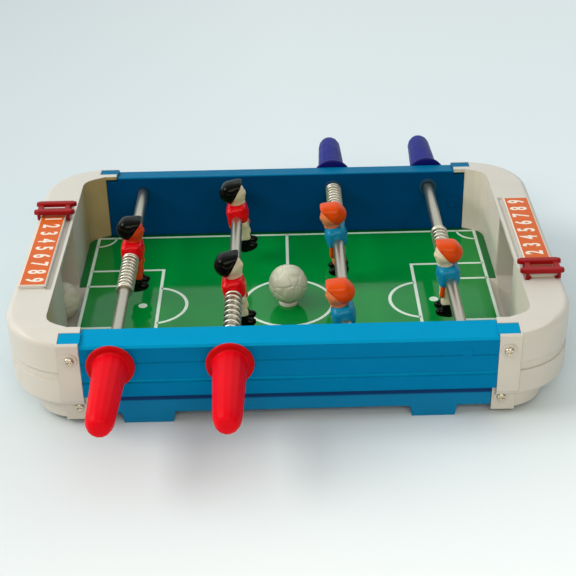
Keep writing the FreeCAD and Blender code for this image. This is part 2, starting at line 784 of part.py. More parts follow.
def save_rods():
    save_rod("red", "keeper", -ROD_X, RED_GAP, keep)
    save_rod("red", "forward", -FIELD_ROD_X, RED_GAP, keep)
    save_rod("blue", "keeper", -ROD_X, BLUE_GAP, half_turn)
    save_rod("blue", "forward", -FIELD_ROD_X, BLUE_GAP, half_turn)


def save_springs():
    end = RED_KEEPER_Y - BODY_HALF - SPRING_GAP
    length, coils = KEEPER_SPRING
    save("red_keeper_spring", spring(-ROD_X, end - length, end, coils))
    end = -BLUE_KEEPER_Y - BODY_HALF - SPRING_GAP
    length, coils = BLUE_KEEPER_SPRING
    save("blue_keeper_spring", half_turn(spring(-ROD_X, end - length, end, coils)))
    start = -BUSH_FACE + 0.1
    end = RED_FIELD_Y[0] - BODY_HALF - SPRING_GAP
    save("red_forward_spring", spring(-FIELD_ROD_X, start, end, RED_FORWARD_COILS))
    end = -BLUE_FIELD_Y[1] - BODY_HALF - SPRING_GAP
    save("blue_forward_spring", half_turn(spring(-FIELD_ROD_X, start, end, BLUE_FORWARD_COILS)))


def save_players():
    save("red_keeper", placed_player(-ROD_X, RED_KEEPER_Y, 0))
    save("red_forward_near", placed_player(-FIELD_ROD_X, RED_FIELD_Y[0], -RED_LEAN))
    save("red_forward_far", placed_player(-FIELD_ROD_X, RED_FIELD_Y[1], -RED_LEAN))
    save("blue_keeper", half_turn(placed_player(-ROD_X, -BLUE_KEEPER_Y, BLUE_KEEPER_LEAN)))
    save("blue_forward_near", half_turn(placed_player(-FIELD_ROD_X, -BLUE_FIELD_Y[0], BLUE_LEAN)))
    save("blue_forward_far", half_turn(placed_player(-FIELD_ROD_X, -BLUE_FIELD_Y[1], BLUE_LEAN)))


os.makedirs("parts", exist_ok=True)
save_frame()
save_balls()
save_rods()
save_springs()
save_players()
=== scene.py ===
import math
import bmesh
import bpy
import numpy as np
from mathutils import Matrix, Vector


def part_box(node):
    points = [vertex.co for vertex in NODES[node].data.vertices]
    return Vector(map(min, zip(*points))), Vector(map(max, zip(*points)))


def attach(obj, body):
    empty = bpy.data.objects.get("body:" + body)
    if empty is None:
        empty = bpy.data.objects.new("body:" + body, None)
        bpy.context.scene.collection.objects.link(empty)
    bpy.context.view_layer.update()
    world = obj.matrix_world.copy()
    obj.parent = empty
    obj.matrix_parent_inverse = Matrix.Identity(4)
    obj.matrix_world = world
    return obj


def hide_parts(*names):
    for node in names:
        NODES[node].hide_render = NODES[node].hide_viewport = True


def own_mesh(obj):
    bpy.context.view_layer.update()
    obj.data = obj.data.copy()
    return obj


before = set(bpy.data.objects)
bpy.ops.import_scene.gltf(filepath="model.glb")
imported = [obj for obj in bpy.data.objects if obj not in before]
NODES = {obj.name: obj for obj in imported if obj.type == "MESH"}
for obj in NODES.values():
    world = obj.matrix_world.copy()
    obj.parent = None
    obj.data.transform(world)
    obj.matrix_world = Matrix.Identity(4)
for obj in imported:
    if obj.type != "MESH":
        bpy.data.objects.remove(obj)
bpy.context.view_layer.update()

MM = 0.001


def top_of(node):
    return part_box(node)[1].z


def middle(node):
    lo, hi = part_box(node)
    return (lo + hi) / 2


PITCH_Z = top_of("pitch_board")
ROD_Z = middle("red_keeper_rod").z


# ---------------------------------------------------------------- colours
def lin(r, g, b):
    out = []
    for v in (r, g, b):
        v = v / 255
        out.append(v / 12.92 if v <= 0.04045 else ((v + 0.055) / 1.055) ** 2.4)
    return tuple(out) + (1.0,)


# ---------------------------------------------------------------- materials
class Nodes:
    def __init__(self, name):
        self.mat = bpy.data.materials.new(name)
        self.mat.use_nodes = True
        self.tree = self.mat.node_tree
        self.bsdf = self.tree.nodes["Principled BSDF"]
        self.coord = self.add("ShaderNodeTexCoord").outputs["Object"]

    def add(self, kind, **values):
        node = self.tree.nodes.new(kind)
        for key, value in values.items():
            setattr(node, key, value)
        return node

    def link(self, a, b):
        self.tree.links.new(a, b)

    def noise(self, scale, detail=3.0, rough=0.55, stretch=None):
        node = self.add("ShaderNodeTexNoise")
        node.inputs["Scale"].default_value = scale
        node.inputs["Detail"].default_value = detail
        node.inputs["Roughness"].default_value = rough
        source = self.coord
        if stretch:
            mapping = self.add("ShaderNodeMapping")
            mapping.inputs["Scale"].default_value = stretch
            self.link(self.coord, mapping.inputs["Vector"])
            source = mapping.outputs["Vector"]
        self.link(source, node.inputs["Vector"])
        return node.outputs["Fac"]

    def ramp(self, fac, stops):
        node = self.add("ShaderNodeValToRGB")
        ramp = node.color_ramp
        ramp.elements[0].position, ramp.elements[0].color = stops[0]
        ramp.elements[1].position, ramp.elements[1].color = stops[-1]
        for position, color in stops[1:-1]:
            ramp.elements.new(position).color = color
        self.link(fac, node.inputs["Fac"])
        return node.outputs["Color"]

    def spread(self, fac, low, high, start=0.3, end=0.7):
        node = self.add("ShaderNodeMapRange")
        for key, value in (("From Min", start), ("From Max", end), ("To Min", low), ("To Max", high)):
            node.inputs[key].default_value = value
        self.link(fac, node.inputs["Value"])
        return node.outputs["Result"]

    def math(self, operation, *sources):
        node = self.add("ShaderNodeMath", operation=operation)
        for k, source in enumerate(sources):
            self.link(source, node.inputs[k])
        return node.outputs["Value"]

    def along(self, axis):
        split = self.add("ShaderNodeSeparateXYZ")
        self.link(self.coord, split.inputs["Vector"])
        return split.outputs[axis]

    def times(self, a, b):
        mix = self.add("ShaderNodeMix", data_type="RGBA", blend_type="MULTIPLY")
        mix.inputs["Factor"].default_value = 1.0
        self.link(a, mix.inputs["A"])
        self.link(b, mix.inputs["B"])
        return mix.outputs["Result"]

    def across(self, cloud, vary, *bands):
        """Colour by distance from the middle line; each band is (metres at its start, colour)."""
        low, high = bands[0][0] - 0.01, bands[-1][0] + 0.01
        part = self.spread(self.math("ABSOLUTE", self.along("Y")), 0, 1, low, high)
        tone = self.ramp(part, [((at - low) / (high - low), color) for at, color in bands])
        tone.node.color_ramp.interpolation = "CONSTANT"
        return self.times(tone, self.ramp(cloud, [(0.3, (1 - vary,) * 3 + (1,)), (0.7, (1, 1, 1, 1))]))

    def tinted(self, color, tint, *limits):
        """Tint the colour where each |x|, |y| or height is below its limit, or above a negative one.

        Each limit is (axis, metres, half the width of the change)."""
        mask = None
        for axis, limit, soft in limits:
            ends = (1, 0) if limit > 0 else (0, 1)
            size = self.math("ABSOLUTE", self.along(axis))
            here = self.spread(size, *ends, abs(limit) - soft, abs(limit) + soft)
            mask = self.math("MULTIPLY", mask, here) if mask else here
        mix = self.add("ShaderNodeMix", data_type="RGBA", blend_type="MULTIPLY")
        self.link(mask, mix.inputs["Factor"])
        self.link(color, mix.inputs["A"])
        mix.inputs["B"].default_value = tint
        return mix.outputs["Result"]

    def bump(self, heights, rounded=0.0):
        normal = None
        if rounded:
            bevel = self.add("ShaderNodeBevel", samples=6)
            bevel.inputs["Radius"].default_value = rounded
            normal = bevel.outputs["Normal"]
        for height, strength, distance in heights:
            node = self.add("ShaderNodeBump")
            node.inputs["Strength"].default_value = strength
            node.inputs["Distance"].default_value = distance
            self.link(height, node.inputs["Height"])
            if normal:
                self.link(normal, node.inputs["Normal"])
            normal = node.outputs["Normal"]
        self.link(normal, self.bsdf.inputs["Normal"])


def shade(color, k):
    return tuple(min(1.0, c * k) for c in color[:3]) + (1.0,)


def plastic(name, color, rough=(0.3, 0.42), vary=0.06, grain=(1400, 0.12, 0.00004),
            wave=(60, 0.1, 0.0002), rounded=0.0, specular=0.5, ior=1.45, bands=None, inside=None):
    """Moulded plastic or paint: cloudy colour, uneven gloss, a slow wave and a fine grain."""
    m = Nodes(name)
    cloud = m.noise(45, 4.0)
    # bands set the colour by distance from the middle line; the walls and the pitch use them for painted
    # shade
    if bands:
        tone = m.across(cloud, vary, *bands)
    else:
        tone = m.ramp(cloud, [(0.3, shade(color, 1 - vary)), (0.5, color), (0.72, shade(color, 1 + vary))])
    # inside is a tint over masked parts, used for painted light and shade
    if inside:
        tone = m.tinted(tone, *inside)
    m.link(tone, m.bsdf.inputs["Base Color"])
    m.bsdf.inputs["IOR"].default_value = ior
    m.link(m.spread(m.noise(180, 3.0), *rough), m.bsdf.inputs["Roughness"])
    m.bump([(m.noise(wave[0], 2.0), wave[1], wave[2]), (m.noise(grain[0], 3.0), grain[1], grain[2])], rounded)
    m.bsdf.inputs["Specular IOR Level"].default_value = specular
    return m.mat


def metal(name, color, rough, stretch, rounded=0.0):
    """Bright metal with fine streaks; stretch is how much finer they are along each axis."""
    m = Nodes(name)
    streak = m.noise(90, 4.0, stretch=stretch)
    m.link(m.ramp(streak, [(0.3, shade(color, 0.93)), (0.7, color)]), m.bsdf.inputs["Base Color"])
    m.link(m.spread(m.noise(220, 4.0, stretch=stretch), *rough), m.bsdf.inputs["Roughness"])
    m.bump([(streak, 0.06, 0.00002)], rounded)
    m.bsdf.inputs["Metallic"].default_value = 1.0
    return m.mat


WALL_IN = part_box("rear_wall")[0].y
WALL_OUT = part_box("rear_wall")[1].y
DECK_Z = top_of("left_end_cap")
# the end caps' inner walls, below the deck, where painted light and shade go
INSIDE_CAP = (("X", 0.1365, 0.0002), ("Y", 0.0975, 0.0002), ("Z", DECK_Z - 0.0003, 0.0002))
# only toward the corners, for the left cap's painted shade
CORNER_ONLY = ("Y", -0.066, 0.016)
# the skirt's band above this height, right under the wall's overhang, gets a painted shadow
SHADOW_UNDER_WALL = ("Z", -0.0152, 0.0005)
# the pitch behind each goal line, where a painted shade goes
SHADE_BEHIND_GOAL_LINE = ("X", -0.1312, 0.0012)


def shaded_wall_plastic(name, inner, top, outer):
    """The walls' blue, with its own tone on the inner face, the top and the outer face; these tones are
    painted shade, set by how light falls on each face.
    """
    bands = [(0.09, inner), (WALL_IN + 0.0001, top), (WALL_OUT - 0.0003, outer)]
    return plastic(name, top, rough=(0.34, 0.46), rounded=0.0006, ior=1.08, bands=bands)


# inside holds a tint and its masks, which paint light or shade on the cap's inner walls
def cap_plastic(name, *inside):
    return plastic(name, lin(207, 202, 192), rough=(0.34, 0.46), vary=0.025, rounded=0.0007,
                   specular=0.3, inside=inside)


def grip_plastic(name, color, vary, ior):
    return plastic(name, color, rough=(0.36, 0.48), vary=vary, ior=ior)


def board_plastic(name, color, **values):
    return plastic(name, color, grain=(900, 0.02, 0.00002), **values)


MAT = {
    # Both walls' blues paint light and shade by face: the inner face, the top and the outer face each get the
    # tone of how lit they are.
    "blue": shaded_wall_plastic("blue_shell", lin(0, 80, 136), lin(0, 146, 194), lin(0, 120, 172)),
    # The rear wall's copy of the blue is painted darker as shade on its top and inner face.
    "blue_rear_shaded": shaded_wall_plastic("blue_shell_rear_painted_shade", lin(0, 74, 128), lin(0, 108, 150), lin(0, 120, 172)),
    # The skirt's band right under the wall's overhang is painted dark blue as shadow.
    "skirt": plastic("dark_blue_shell", lin(4, 122, 172), rough=(0.42, 0.55), rounded=0.0006, ior=1.2,
                     inside=((0.12, 0.18, 0.34, 1.0), SHADOW_UNDER_WALL)),
    # The left cap's inner walls are painted darker and warmer toward the corners as shade.
    "ivory_left": cap_plastic("ivory_shell_left_painted_shade", (0.78, 0.62, 0.35, 1.0), *INSIDE_CAP, CORNER_ONLY),
    # The right cap's inner walls are painted lighter as light falling on them.
    "ivory_right": cap_plastic("ivory_shell_right_painted_light", (1.25, 1.19, 1.16, 1.0), *INSIDE_CAP),
    "strip": plastic("ivory_strip", lin(216, 212, 203), vary=0.02, rounded=0.0004),
    "label_film": plastic("label_film", lin(234, 224, 208), rough=(0.26, 0.36), vary=0.02, ior=1.3),
    "label_orange": plastic("label_orange", lin(210, 94, 27), rough=(0.28, 0.4), vary=0.05, ior=1.25),
    "slider": plastic("dark_red_plastic", lin(150, 14, 18), vary=0.08, rounded=0.0005, ior=1.25),
    "screw": metal("screw_steel", lin(215, 205, 185), (0.2, 0.34), (4, 4, 4), rounded=0.00015),
    "pitch": board_plastic("green_board", lin(0, 138, 54), rough=(0.06, 0.1), vary=0.05, ior=1.32,
                           wave=(26, 0.06, 0.0002),
                           # the strip along the walls is painted dark green as shadow
                           bands=[(0.085, lin(0, 138, 54)), (0.0928, lin(0, 76, 32))],
                           # the pitch behind each goal line is tinted darker and bluer as painted shade
                           inside=((0.6, 0.62, 0.8, 1.0), SHADE_BEHIND_GOAL_LINE)),
    "ink": board_plastic("pitch_ink", lin(222, 240, 226), rough=(0.12, 0.2), vary=0.02),
    "ball": plastic("ball_plastic", lin(199, 199, 179), rough=(0.38, 0.5), vary=0.05),
    "bush": plastic("bush_plastic", lin(12, 70, 104), rough=(0.4, 0.5), rounded=0.0002),
    "chrome": metal("chrome_rod", lin(194, 189, 172), (0.3, 0.4), (60, 1, 60)),
    "spring": metal("spring_steel", lin(232, 228, 214), (0.34, 0.46), (6, 6, 6)),
    "red_grip": grip_plastic("red_grip", lin(220, 6, 24), 0.05, 1.15),
    "red_flange": grip_plastic("red_flange", lin(190, 4, 10), 0.05, 1.15),
    "blue_grip": grip_plastic("blue_grip", lin(30, 36, 124), 0.06, 1.15),
    "blue_flange": grip_plastic("blue_flange", lin(8, 10, 104), 0.06, 1.3),
    "black_paint": plastic("paint_black", lin(8, 9, 5), rough=(0.1, 0.2), vary=0.15, ior=1.2),
    "orange_paint": plastic("paint_orange", lin(216, 72, 2), rough=(0.18, 0.28), vary=0.05, ior=1.26),
    "cream_paint": plastic("paint_cream", lin(228, 216, 184), rough=(0.26, 0.38), vary=0.04),
    "tan_paint": plastic("paint_tan", lin(230, 128, 78), rough=(0.26, 0.38), vary=0.05),
    "warm_paint": plastic("paint_warm", lin(226, 66, 26), rough=(0.24, 0.36), vary=0.05, ior=1.35),
    "red_paint": plastic("paint_red", lin(226, 5, 18), rough=(0.2, 0.32), vary=0.05, ior=1.28),
    "blue_paint": plastic("paint_blue", lin(14, 130, 170), rough=(0.2, 0.32), vary=0.06, ior=1.26),
}


def finish_node(node, mat):
    data = NODES[node].data
    data.materials.clear()
    data.materials.append(MAT[mat])


for end in ("front", "rear"):
    finish_node(end + "_wall", "blue" if end == "front" else "blue_rear_shaded")
    finish_node(end + "_base_rail", "skirt")
for end in ("left", "right"):
    finish_node(end + "_end_cap", "ivory_" + end)
    finish_node(end + "_score_strip", "strip")
    finish_node(end + "_score_label", "label_film")
    finish_node(end + "_score_slider", "slider")
finish_node("corner_screws", "screw")
finish_node("pitch_board", "pitch")
finish_node("kickoff_ring", "strip")
RODS = [("red", "keeper", -1), ("red", "forward", -1), ("blue", "keeper", 1), ("blue", "forward", 1)]
for team, role, side in RODS:
    finish_node(f"{team}_{role}_bush", "bush")
    finish_node(f"{team}_{role}_rod", "chrome")
    finish_node(f"{team}_{role}_guide_rod", "chrome")


# ---------------------------------------------------------------- mesh helpers
def mesh_object(name, verts, faces, mats, face_mats=None, smooth=True):
    data = bpy.data.meshes.new(name)
    data.from_pydata([tuple(v) for v in verts], [], [tuple(int(i) for i in f) for f in faces])
    for mat in mats:
        data.materials.append(MAT[mat])
    if face_mats is not None:
        data.polygons.foreach_set("material_index", [int(i) for i in face_mats])
    data.polygons.foreach_set("use_smooth", [smooth] * len(data.polygons))
    data.update()
    obj = bpy.data.objects.new(name, data)
    bpy.context.scene.collection.objects.link(obj)
    return obj


def place(obj, body, replaced=()):
    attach(obj, body)
    if replaced:
        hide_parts(*replaced)
    return obj


def surface_net(field, low, step):
    """Faces of the zero level of a sampled field, with its corners."""
    inside = field < 0
    shape = np.array(field.shape) - 1
    total = np.zeros((*shape, 3))
    count = np.zeros(shape)
    cell = tuple(slice(0, n) for n in shape)
    for axis in range(3):
        other = [a for a in range(3) if a != axis]
        for i in (0, 1):
            for j in (0, 1):
                start = [0, 0, 0]
                start[other[0]], start[other[1]] = i, j
                end = list(start)
                end[axis] = 1
                a = tuple(slice(s, s + n) for s, n in zip(start, shape))
                b = tuple(slice(s, s + n) for s, n in zip(end, shape))
                cross = inside[a] != inside[b]
                gap = field[a] - field[b]
                share = np.where(cross, field[a] / np.where(gap == 0, 1, gap), 0)
                point = np.zeros((*shape, 3))
                point[..., other[0]], point[..., other[1]] = i, j
                point[..., axis] = share
                total[cell] += point * cross[..., None]
                count[cell] += cross
    used = np.argwhere(count > 0)
    index = -np.ones(shape, int)
    index[tuple(used.T)] = np.arange(len(used))
    verts = low + step * (used + total[tuple(used.T)] / count[tuple(used.T)][:, None])
    faces = []
    for axis in range(3):
        u, v = [(1, 2), (2, 0), (0, 1)][axis]
        a = [slice(None)] * 3
        b = [slice(None)] * 3
        a[axis], b[axis] = slice(0, -1), slice(1, None)
        change = np.argwhere(inside[tuple(a)] != inside[tuple(b)])
        change = change[(change[:, u] > 0) & (change[:, v] > 0)]
        change = change[(change[:, u] < shape[u]) & (change[:, v] < shape[v])]
        du, dv = np.zeros(3, int), np.zeros(3, int)
        du[u], dv[v] = 1, 1
        ring = [index[tuple((change - s).T)] for s in (du + dv, dv, 0 * du, du)]
        quad = np.stack(ring, 1)
        outward = inside[tuple(change.T)]
        quad[~outward] = quad[~outward][:, ::-1]
        faces.append(quad)
    return verts, np.concatenate(faces)


SCULPT_STEP = 0.35
SCULPT_ROUNDS = 3


def sculpt(shape, low, high):
    """A mesh of the solid where shape(points) is below zero, in millimetres."""
    step = SCULPT_STEP
    low, high = np.array(low, float), np.array(high, float)
    axes = [np.arange(low[i], high[i] + step, step) for i in range(3)]
    grid = np.stack(np.meshgrid(*axes, indexing="ij"), -1)
    verts, faces = surface_net(shape(grid), low, step)
    for _ in range(SCULPT_ROUNDS):
        here = shape(verts)
        slope = np.stack([(shape(verts + d) - shape(verts - d)) / 0.1 for d in np.eye(3) * 0.05], -1)
        verts = verts - slope * np.clip(here / np.maximum((slope ** 2).sum(-1), 0.05), -0.3, 0.3)[..., None]
    return verts, faces


def ellipsoid(p, centre, radii):
    q = (p - np.array(centre)) / np.array(radii)
    k0 = np.sqrt((q ** 2).sum(-1)) + 1e-9
    k1 = np.sqrt(((q / np.array(radii)) ** 2).sum(-1)) + 1e-9
    return k0 * (k0 - 1) / k1


def limb(p, a, b, r0, r1):
    a, b = np.array(a, float), np.array(b, float)
    t = np.clip(((p - a) @ (b - a)) / ((b - a) @ (b - a)), 0, 1)
    return np.sqrt(((p - a - t[..., None] * (b - a)) ** 2).sum(-1)) - (r0 + (r1 - r0) * t)


def block(p, centre, half, r):
    q = np.abs(p - np.array(centre)) - np.array(half) + r
    return np.sqrt((np.maximum(q, 0) ** 2).sum(-1)) + np.minimum(q.max(-1), 0) - r


def both(a, b, k):
    """Two shapes joined with a rounded seam about k wide."""
    h = np.clip(0.5 + 0.5 * (b - a) / k, 0, 1)
    return b + (a - b) * h - k * h * (1 - h)


def carve(a, b, k):
    """Shape a with b taken away, the edge rounded by about k."""
    return -both(-a, b, k)


# ---------------------------------------------------------------- players
# Each shape takes points in millimetres about the rod (forward, sideways, up) and gives a
# distance that is negative inside.
def hair(p):
    mass = ellipsoid(p, (0.2, 0, 17.2), (8.4, 7.9, 7.2))
    crown = (p - np.array((1.8, 0, 20.0))) @ np.array(((0.999, 0, -0.04), (0, 1, 0), (0.04, 0, 0.999)))
    mass = both(mass, block(crown, (0, 0, 0), (7.7, 6.7, 4.5), 4.2), 1.3)
    line = p[..., 0] - (-2.9 + 11.9 * (p[..., 2] - 9.5) / 15.5)
    return carve(mass, -line * 0.79, 0.7)


def face(p):
    head = ellipsoid(p, (2.1, 0, 16.9), (6.3, 6.9, 6.5))
    nose = ellipsoid(p, (8.0, 0, 15.9), (0.9, 1.1, 1.4))
    chin = ellipsoid(p, (4.4, 0, 12.4), (3.3, 3.6, 2.2))
    head = both(both(head, nose, 1.6), chin, 2.2)
    for y in (-1, 1):
        head = carve(head, ellipsoid(p, (8.3, y * 2.8, 18.2), (0.9, 1.3, 0.8)), 0.8)
    collar = ellipsoid(p, (5.4, 0, 9.8), (2.0, 3.0, 1.0))
    neck = both(limb(p, (1.8, 0, 8.0), (1.8, 0, 12.0), 4.4, 4.4), collar, 0.6)
    return both(head, neck, 1.2)


def shirt(p):
    torso = block(p, (0.8, 0, 2.8), (6.5, 7.9, 6.7), 3.9)
    belly = ellipsoid(p, (0.8, 0, 2.6), (7.3, 8.2, 6.9))
    body = both(torso, belly, 1.5)
    for f, y, low in ((-3.2, -6.0, -1.6), (3.6, 6.0, -1.2)):
        body = both(body, limb(p, (f, y, 5.6), (f * 1.25, y, low), 2.4, 2.0), 1.2)
    return carve(body, ellipsoid(p, (1.8, 0, 10.0), (4.8, 4.8, 1.2)), 0.5)


def arms(p):
    back = limb(p, (-3.9, -6.0, -1.4), (-4.2, -6.0, -3.2), 1.7, 1.6)
    back = both(back, ellipsoid(p, (-4.3, -6.0, -4.2), (1.7, 1.5, 1.8)), 0.6)
    front = limb(p, (4.3, 6.0, -0.8), (5.1, 6.0, -7.4), 1.7, 1.5)
    front = both(front, ellipsoid(p, (5.3, 6.0, -8.6), (1.6, 1.5, 2.0)), 0.6)
    return np.minimum(back, front)


def legs(p):
    shorts = block(p, (1.4, 0, -4.8), (4.7, 7.2, 3.0), 2.4)
    for y in (-4.3, 4.3):
        squeezed = p * np.array((0.62, 1, 1))
        leg = limb(squeezed, (0.8, y, -6.5), (1.0, y, -15.5), 2.9, 2.5) / 0.8
        sock = limb(squeezed, (1.0, y, -13.4), (1.0, y, -14.6), 2.75, 2.75) / 0.8
        shorts = both(shorts, both(leg, sock, 0.6), 1.0)
    return shorts


def shoes(p):
    out = None
    for y in (-4.3, 4.3):
        tilt = (p - np.array((4.7, y, -21.9))) @ np.array(((0.985, 0, -0.17), (0, 1, 0), (0.17, 0, 0.985)))
        toe = ellipsoid(tilt, (0, 0, 0), (4.9, 2.8, 2.9))
        heel = ellipsoid(p, (0.3, y, -21.4), (3.7, 2.7, 4.0))
        ankle = limb(p * np.array((0.66, 1, 1)), (0.9, y, -15.9), (0.8, y, -20.5), 2.8, 2.8) / 0.9
        shoe = both(both(toe, heel, 2.4), ankle, 1.4)
        shoe = carve(shoe, 25.2 + p[..., 2], 0.4)
        out = shoe if out is None else np.minimum(out, shoe)
    return out


# each part of a figure with the box, in millimetres about the rod, that holds it
REGIONS = [
    (hair, (-12, -11, 6), (12, 11, 30)),
    (face, (-10, -10, 3), (12, 10, 27)),
    (shirt, (-11, -11, -10), (12, 11, 12)),
    (arms, (-12, -10, -13), (12, 10, 5)),
    (legs, (-8, -10, -21), (11, 10, 1)),
    (shoes, (-6, -9, -27), (13, 9, -11)),
]


def figure_parts():
    """A standing figure about the rod's axis, with the number of the region of each face."""
    verts, faces, mats = [], [], []
    for k, (shape, low, high) in enumerate(REGIONS):
        v, f = sculpt(shape, low, high)
        faces.append(f + sum(len(a) for a in verts))
        verts.append(v)
        mats += [k] * len(f)
    return np.concatenate(verts) * MM, np.concatenate(faces), mats


# paint of the hair, face, shirt, arms, legs and shoes, then the lean in degrees, then the places
KITS = {
    "red_forward": ("black cream red orange cream black", -9.5, ("_near", "_far")),
    "red_keeper": ("black warm red warm warm black", 0, ("",)),
    "blue_forward": ("orange tan blue orange tan black", 9, ("_near", "_far")),
    "blue_keeper": ("orange cream blue orange cream black", 3.5, ("",)),
}

FIGURE = figure_parts()
for role, (paints, degrees, spots) in KITS.items():
    team = role.split("_")[0]
    turn = Matrix.Rotation(math.pi if team == "blue" else 0, 3, "Z")
    lean = Matrix.Rotation(math.radians(degrees), 3, "Y")
    verts = FIGURE[0] @ np.array(turn @ lean).T
    for spot in spots:
        node = role + spot
        mats = [paint + "_paint" for paint in paints.split()]
        obj = mesh_object(node + "_figure", verts, FIGURE[1], mats, FIGURE[2])
        obj.location = (middle(role + "_rod").x, middle(node).y, ROD_Z)
        place(obj, role + "_rod", [node])


# ---------------------------------------------------------------- balls
# distance of the panels' planes from the middle of a football of unit radius
PENTAGON_AT = 0.9393
HEXAGON_AT = 0.9149
SEAM_WIDTH = 0.05
SEAM_DEPTH = 0.45 * MM
SEAM_TURN_AXIS = Vector((0.3, 0.5, 0.8))


def panel_middles():
    phi = (1 + 5 ** 0.5) / 2
    pent = []
    hexa = []
    for a in (-1, 1):
        for b in (-phi, phi):
            pent += [(0, a, b), (a, b, 0), (b, 0, a)]
        for b in (-1, 1):
            hexa += [(a, b, c) for c in (-1, 1)]
            hexa += [(0, a / phi, b * phi), (a / phi, b * phi, 0), (a * phi, 0, b / phi)]
    pent = np.array(pent) / np.linalg.norm(pent[0]) / PENTAGON_AT
    hexa = np.array(hexa) / np.linalg.norm(hexa[0]) / HEXAGON_AT
    return np.concatenate([pent, hexa])


def football(name, node, turn):
    """A ball with the seams of twelve pentagons and twenty hexagons pressed into it."""
    bm = bmesh.new()
    bmesh.ops.create_icosphere(bm, subdivisions=6, radius=1.0)
    dirs = np.array([v.co for v in bm.verts])
    dirs /= np.linalg.norm(dirs, axis=1)[:, None]
    turned = dirs @ np.array(Matrix.Rotation(turn, 3, SEAM_TURN_AXIS))
    values = np.sort(turned @ panel_middles().T, axis=1)
    gap = np.clip((values[:, -1] - values[:, -2]) / SEAM_WIDTH, 0, 1)
    radius = (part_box(node)[1].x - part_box(node)[0].x) / 2
    for v, d, g in zip(bm.verts, dirs, gap):
        v.co = Vector(d) * (radius - SEAM_DEPTH * (1 - g * g * (3 - 2 * g)))
    data = bpy.data.meshes.new(name)
    bm.to_mesh(data)
    bm.free()
    data.materials.append(MAT["ball"])
    data.polygons.foreach_set("use_smooth", [True] * len(data.polygons))
    obj = bpy.data.objects.new(name, data)
    bpy.context.scene.collection.objects.link(obj)
    obj.location = middle(node)
    place(obj, node, [node])


football("match_football", "match_ball", 0.4)
football("spare_football", "spare_ball", 1.1)


# ---------------------------------------------------------------- turned shapes
def ring_faces(rows, n, flip=False):
    """Faces between rows of n corners, and one over the last row."""
    faces = []
    for i in range(rows - 1):
        for k in range(n):
            m = (k + 1) % n
            quad = (i * n + k, i * n + m, (i + 1) * n + m, (i + 1) * n + k)
            faces.append(quad[::-1] if flip else quad)
    last = tuple(range((rows - 1) * n, rows * n))
    faces.append(last[::-1] if flip else last)
    return faces


# ---------------------------------------------------------------- springs
WIRE = 0.6 * MM
WIRE_SIDES = 10
CLOSED_TURNS = 1.0
CLOSED_PITCH = 2.1 * WIRE
TURN_STEPS = 40


def wire_mesh(points):
    along = np.gradient(points, axis=0)
    along /= np.linalg.norm(along, axis=1)[:, None]
    side = np.cross(along, np.array((0, 1.0, 0)))
    side /= np.linalg.norm(side, axis=1)[:, None]
    up = np.cross(side, along)
    angle = np.arange(WIRE_SIDES) * 2 * math.pi / WIRE_SIDES
    ring = np.cos(angle)[None, :, None] * side[:, None] + np.sin(angle)[None, :, None] * up[:, None]
    verts = (points[:, None] + WIRE * ring).reshape(-1, 3)
    return verts, ring_faces(len(points), WIRE_SIDES) + [tuple(reversed(range(WIRE_SIDES)))]


def coil_spring(name, node, turns, body):
    """A compression spring along Y, the turn at each end wound close."""
    lo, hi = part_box(node)
    r = (hi.x - lo.x) / 2 - WIRE
    n = int((turns + 2 * CLOSED_TURNS) * TURN_STEPS)
    angle = np.arange(n + 1) / TURN_STEPS
    free = hi.y - lo.y - 2 * WIRE - 2 * CLOSED_TURNS * CLOSED_PITCH
    at_end = (angle < CLOSED_TURNS) | (angle > turns + CLOSED_TURNS)
    rise = np.where(at_end, CLOSED_PITCH, free / turns)
    smooth = np.convolve(np.pad(rise, 10, mode="edge"), np.ones(21) / 21, "valid")
    y = np.concatenate([[0], np.cumsum(smooth[1:]) / TURN_STEPS])
    y = lo.y + WIRE + y * (hi.y - lo.y - 2 * WIRE) / y[-1]
    x = (lo.x + hi.x) / 2
    spin = 2 * math.pi * angle
    verts, faces = wire_mesh(np.stack([x + r * np.cos(spin), y, ROD_Z + r * np.sin(spin)], 1))
    return place(mesh_object(name, verts, faces, ["spring"]), body, [node])


coil_spring("red_keeper_coil", "red_keeper_spring", 9.5, "red_keeper_rod")
coil_spring("blue_keeper_coil", "blue_keeper_spring", 10.5, "blue_keeper_rod")
for team, side, turns in (("red", -1, 8.0), ("blue", 1, 15.0)):
    obj = coil_spring(team + "_forward_coil", team + "_forward_spring", turns, "table")
    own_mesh(obj)


# ---------------------------------------------------------------- handles
FACETS = 14
FACET_STEPS = 8
FLANGE_ROWS = 7


def grip_profile(flange, length):
    """Radius, distance from the flange's back and share of the ridges, all along the grip."""
    return [
        (3.6 * MM, 0.0, 0),
        (flange - 0.9 * MM, 0.0, 0),
        (flange - 0.25 * MM, 0.3 * MM, 0),
        (flange, 1.1 * MM, 0),
        (flange - 0.2 * MM, 2.0 * MM, 0),
        (flange - 0.9 * MM, 2.55 * MM, 0),
        (11.2 * MM, 2.3 * MM, 0),
        (10.1 * MM, 2.6 * MM, 0.2),
        (9.6 * MM, 3.4 * MM, 1),
        (9.55 * MM, 5 * MM, 1),
        (8.6 * MM, 0.5 * length, 1),
        (7.75 * MM, length - 7.4 * MM, 1),
        (7.5 * MM, length - 6.4 * MM, 1),
        (7.0 * MM, length - 4.4 * MM, 1),
        (6.1 * MM, length - 2.2 * MM, 1),
        (4.8 * MM, length - 0.8 * MM, 1),
        (3.0 * MM, length - 0.15 * MM, 0.7),
        (1.2 * MM, length, 0),
    ]


